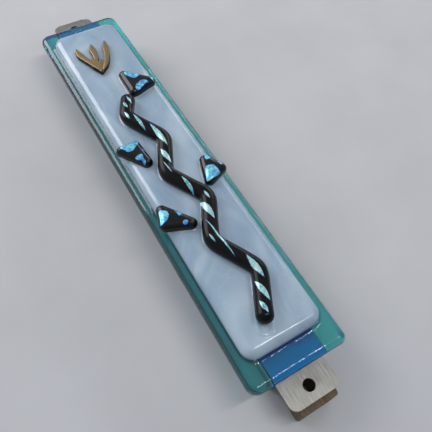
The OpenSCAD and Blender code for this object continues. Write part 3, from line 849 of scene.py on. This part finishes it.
def parchment(material):
    """A band wound into a spiral, r = r0 + pitch * turns, its two long edges wandering a little and its
    outer flap lying on the roll."""
    low, high = node_box("parchment_scroll")
    sleeve_low, sleeve_high = node_box("scroll_sleeve")
    axis = -(sleeve_low[1] + sleeve_high[1]) / 2
    turns, pitch, inner, thick = 3.5, 0.6, 1.5, 0.36
    a = np.linspace(0, 2 * np.pi * turns, 260)[None]
    up = np.linspace(0, 1, 40)[:, None]
    end_wander = 0.35 * np.sin(a * 0.9 + 0.4) * np.sin(a * 0.23)
    z = (low[2] + 0.4 + end_wander) * (1 - up) + (high[2] - 0.4 - 0.7 * end_wander) * up
    radius = inner + pitch * a / (2 * np.pi) + 0.03 * np.sin(up * 11 + a * 0.7)
    inner_side = place(radius * np.cos(a), z, axis - radius * np.sin(a))
    outer = radius + thick
    outer_side = place(outer * np.cos(a), z, axis - outer * np.sin(a))
    make_piece(
        "parchment_roll", *sheet_pair(outer_side, inner_side), material, "scroll", ["parchment_scroll"],
        "parchment",
    )


def cradle(name, material):
    """A U-shaped section with eased corners carried along the scroll, pulled in by up to 0.25 mm over its
    ends as cut foam is, and the wall that stops the scroll as a second block behind it."""
    low, high = node_box(name)
    sleeve_low, sleeve_high = node_box("scroll_sleeve")
    upward = 1 if high[2] > 0 else -1
    end_gap, side_gap, overlap = 0.3, 0.05, 0.02
    notch_end = sleeve_high[2] + end_gap if upward > 0 else sleeve_low[2] - end_gap
    axis, reach = -(sleeve_low[1] + sleeve_high[1]) / 2, (sleeve_high[0] - sleeve_low[0]) / 2 + side_gap
    near, far, half = -high[1], -low[1], high[0]
    turn = np.linspace(np.pi, 0, 25)
    notch = np.stack([reach * np.cos(turn), axis + reach * np.sin(turn)], 1)
    outer = [[reach, near], [half, near], [half, far], [-half, far], [-half, near], [-reach, near]]
    section = ease(np.concatenate([notch, outer]), 0.35)
    block = ease(np.array(outer[1:5]), 0.5)
    open_end, shut_end = (low[2], high[2]) if upward > 0 else (high[2], low[2])
    shapes = [
        tube(foam_rings(section, open_end, notch_end + overlap * upward)),
        tube(foam_rings(block, notch_end, shut_end)),
    ]
    piece = make_piece(f"{name}_foam", *joined(shapes), material, "case", [name], "foam")


def ease(points, reach):
    """A closed outline whose corners are cut twice, each time a share of the side but no more than the
    reach, which rounds them."""
    for cut in (reach, reach / 2.5):
        side = np.roll(points, -1, 0) - points
        length = np.linalg.norm(side, axis=1)[:, None]
        share = np.minimum(cut / np.maximum(length, 1e-6), 0.25)
        points = np.stack([points + side * share, points + side * (1 - share)], 1).reshape(-1, 2)
    return points


def foam_rings(section, start, end):
    """The section at stations from one end to the other, drawn in towards its middle at both ends."""
    share = np.array([0, 0.02, 0.06, 0.3, 0.7, 0.94, 0.98, 1.0])[:, None]
    middle = (section.max(0) + section.min(0)) / 2
    draw = 0.25 * np.exp(-np.minimum(share, 1 - share) * 60)
    room = np.maximum(np.abs(section - middle).max(0), 1)
    x = middle[0] + (section[:, 0] - middle[0])[None] * (1 - draw / room[0])
    depth = middle[1] + (section[:, 1] - middle[1])[None] * (1 - draw / room[1])
    return place(x, start + (end - start) * share + 0 * x, depth)


# ---- settings and operators


class CaseSettings(bpy.types.PropertyGroup):
    """Sizes and colours of the case that can be changed before its pieces are built."""

    glass_wave: FloatProperty(
        name="Base glass wave", description="Depth of the slow wave in the base glass, in millimetres",
        default=0.05, min=0.0, max=0.3,
    )
    panel_wave: FloatProperty(
        name="Panel wave", description="Depth of the slow wave in the opal panel, in millimetres",
        default=0.09, min=0.0, max=0.3,
    )
    aqua_tint: FloatVectorProperty(
        name="Aqua tint", description="Linear colour that the aqua glass lets through", subtype="COLOR",
        default=(0.02, 0.85, 0.84), min=0.0, max=1.0,
    )
    aqua_density: FloatProperty(
        name="Aqua density", description="How fast the aqua glass takes up light, per metre", default=400.0,
        min=0.0,
    )
    key_power: FloatProperty(
        name="Key light", description="Power of the large soft light", default=1.75, min=0.0, unit="POWER"
    )


class CASE_OT_glass(bpy.types.Operator):
    """Builds the base glass, its blue strip and the opal panel"""

    bl_idname = "case.glass"
    bl_label = "Base glass and panel"

    def execute(self, context):
        s = context.scene.case_settings
        # 1358C4 is painted refraction laid by the "blue" attribute: the blue strip and its surroundings seen
        # through the glass, and a dark navy edge line of shade
        aqua = kiln_glass(
            "aqua glass, kiln fused", "#F4FCFC", "#1358C4", painted_refraction_blue, 12, 0.12, tuple(s.aqua_tint),
            s.aqua_density,
        )
        # C4EEFF, drawn as pale wavy threads, is painted light: caustic lines over the blue strip
        blue = kiln_glass("blue glass, kiln fused", "#109FFF", "#C4EEFF", painted_caustic_threads, 6, 0.15)
        base_glass(s, aqua)
        blue_strip(blue)
        opal_panel(s, opal_glass("#A9BED0", "#93A8BF", "#C9D9E4"))
        return {"FINISHED"}


class CASE_OT_cane(bpy.types.Operator):
    """Builds the zigzag cane and its stripes"""

    bl_idname = "case.cane"
    bl_label = "Twisted cane"

    def execute(self, context):
        twist_cane(black_glass("black glass, pulled", "#090908", "#17120F", 0.26, 0.22, 0.0))
        stops = [(0.17, "#4FA9B4"), (0.42, "#A6E2E0"), (0.63, "#DDF6EF"), (0.92, "#86D3DE")]
        cane_leaves(dichroic("dichroic film, wound into the cane", stops, "#1638B0", 0.3, 1.1, 0.05, 0.35))
        return {"FINISHED"}


class CASE_OT_chips(bpy.types.Operator):
    """Builds the four black chips and their film patches"""

    bl_idname = "case.chips"
    bl_label = "Chips"

    def execute(self, context):
        black = black_glass("black glass, fire polished", "#080807", "#17120D", 0.16, 0.4, 0.15)
        stops = [(0.13, "#1A56E0"), (0.38, "#239BEA"), (0.58, "#45D3EA"), (0.83, "#A6F6EE")]
        film = dichroic("dichroic film, crinkled under clear glass", stops, "#1A2FD0", 0.3, 0.8, 0.14, 0.4)
        for seed, name in enumerate(CHIPS, 11):
            chip(name, seed, black)
            film_patches(name, seed, film)
        return {"FINISHED"}


class CASE_OT_letter(bpy.types.Operator):
    """Builds the cast letter and its dot of glue"""

    bl_idname = "case.letter"
    bl_label = "Letter"

    def execute(self, context):
        letter(cast_bronze("#A48C66", "#655438", "#201F17"))
        glue = mottled("epoxy glue, cured clear", "#E8E6DA", "#CFCBB8", 0.8, 0.02, 0.25)
        dress_node("letter_glue", glue)
        return {"FINISHED"}


class CASE_OT_back(bpy.types.Operator):
    """Finishes the channel, tapes and end blocks, and builds the foam cradles"""

    bl_idname = "case.back"
    bl_label = "Channel and what it holds"

    def execute(self, context):
        dress_node("back_channel", brushed_metal("#AFACA4", "#73706A"), 0.12)
        tape = mottled("acrylic foam tape, die cut", "#D8DADA", "#B9BCBC", 0.6, 0.04, 0.7)
        for name in ("tape_top", "tape_middle", "tape_bottom"):
            dress_node(name, tape)
        wood = stained_wood("#6E5326", "#33230F")
        for name in ("end_block_top", "end_block_bottom"):
            dress_node(name, wood, 0.25)
        foam = mottled("polyethylene foam, cut", "#4A4C4E", "#232526", 0.7, 0.18, 0.95)
        for name in ("cradle_top", "cradle_bottom"):
            cradle(name, foam)
        return {"FINISHED"}


class CASE_OT_scroll(bpy.types.Operator):
    """Builds the rolled parchment and finishes its clear sleeve"""

    bl_idname = "case.scroll"
    bl_label = "Scroll"

    def execute(self, context):
        hide = mottled("parchment, scraped and limed", "#E6D8B4", "#C9B486", 2.2, 0.05, 0.6)
        parchment(hide)
        dress_node("scroll_sleeve", clear_film())
        return {"FINISHED"}


class CASE_OT_stage(bpy.types.Operator):
    """Sets the pale floor that the case lies on, the camera and the soft lights"""

    bl_idname = "case.stage"
    bl_label = "Stage"

    def execute(self, context):
        mesh = bpy.data.meshes.new("floor")
        reach, below = 4.0, 0.0006
        corners = [(x * reach, below, z * reach) for x, z in ((-1, -1), (1, -1), (1, 1), (-1, 1))]
        mesh.from_pydata(corners, [], [(0, 1, 2, 3)])
        mesh.materials.append(pale_card("#D2D1D2", "#CCCBCC"))
        ground = bpy.data.objects.new("floor", mesh)
        bpy.context.collection.objects.link(ground)

        eye = bpy.data.cameras.new("camera")
        eye.lens, eye.sensor_width = 39.28, 36.0
        eye.clip_start, eye.clip_end = 0.01, 20.0
        camera = bpy.data.objects.new("camera", eye)
        bpy.context.collection.objects.link(camera)
        right, up = (0.86145, -0.0392, -0.50633), (0.41356, -0.52451, 0.74422)
        towards_eye = (-0.29475, -0.8505, -0.43562)
        turn = Matrix((right, up, towards_eye)).transposed().to_4x4()
        camera.matrix_world = Matrix.Translation((-0.04792, -0.16693, -0.11041)) @ turn
        context.scene.camera = camera

        world = bpy.data.worlds.new("soft room, a little brighter overhead")
        world.use_nodes = True
        tree = world.node_tree
        toward = add(tree, "ShaderNodeTexCoord").outputs["Generated"]
        height = add(tree, "ShaderNodeSeparateXYZ", Vector=toward).outputs["Z"]
        level = add(tree, "ShaderNodeMapRange", Value=height, From_Min=-1.0)
        sky = add(
            tree, "ShaderNodeValToRGB", Fac=level,
            stops=[(0.0, "#5A5F66"), (0.5, "#8C929A"), (0.8, "#90969E"), (1.0, "#A4AAB2")],
        )
        back = tree.nodes["Background"]
        tree.links.new(sky.outputs["Color"], back.inputs["Color"])
        back.inputs["Strength"].default_value = 1.38
        context.scene.world = world
        context.scene.view_settings.view_transform = "Standard"
        power = context.scene.case_settings.key_power
        for name, at, wide, tall, watts in (
            ("key", (-0.28, -0.34, 0.46), 0.40, 0.40, power),
            ("side", (0.42, -0.20, 0.24), 0.06, 0.36, power * 0.2),
            ("line", (0.153, -0.49, -0.175), 0.30, 0.024, power * 0.36),
        ):
            lamp = bpy.data.lights.new(name, "AREA")
            lamp.shape, lamp.size, lamp.size_y, lamp.energy = "RECTANGLE", wide, tall, watts
            light = bpy.data.objects.new(name, lamp)
            bpy.context.collection.objects.link(light)
            light.location = at
            light.rotation_euler = Vector(at).to_track_quat("Z", "Y").to_euler()
        return {"FINISHED"}


class CASE_PT_panel(bpy.types.Panel):
    """Lists the case's settings and the steps that build it"""

    bl_idname = "CASE_PT_panel"
    bl_label = "Mezuzah case"
    bl_space_type = "VIEW_3D"
    bl_region_type = "UI"
    bl_category = "Case"

    def draw(self, context):
        for name in CaseSettings.__annotations__:
            self.layout.prop(context.scene.case_settings, name)
        for step in STEPS:
            self.layout.operator(step.bl_idname)


STEPS = (
    CASE_OT_glass, CASE_OT_cane, CASE_OT_chips, CASE_OT_letter, CASE_OT_back, CASE_OT_scroll, CASE_OT_stage
)
CLASSES = (CaseSettings, *STEPS, CASE_PT_panel)


def register():
    for kind in CLASSES:
        bpy.utils.register_class(kind)
    bpy.types.Scene.case_settings = PointerProperty(type=CaseSettings)


def unregister():
    del bpy.types.Scene.case_settings
    for kind in reversed(CLASSES):
        bpy.utils.unregister_class(kind)


def main():
    register()
    for operator in (
        bpy.ops.case.glass, bpy.ops.case.cane, bpy.ops.case.chips, bpy.ops.case.letter, bpy.ops.case.back,
        bpy.ops.case.scroll, bpy.ops.case.stage,
    ):
        operator()


if __name__ == "__main__":
    main()
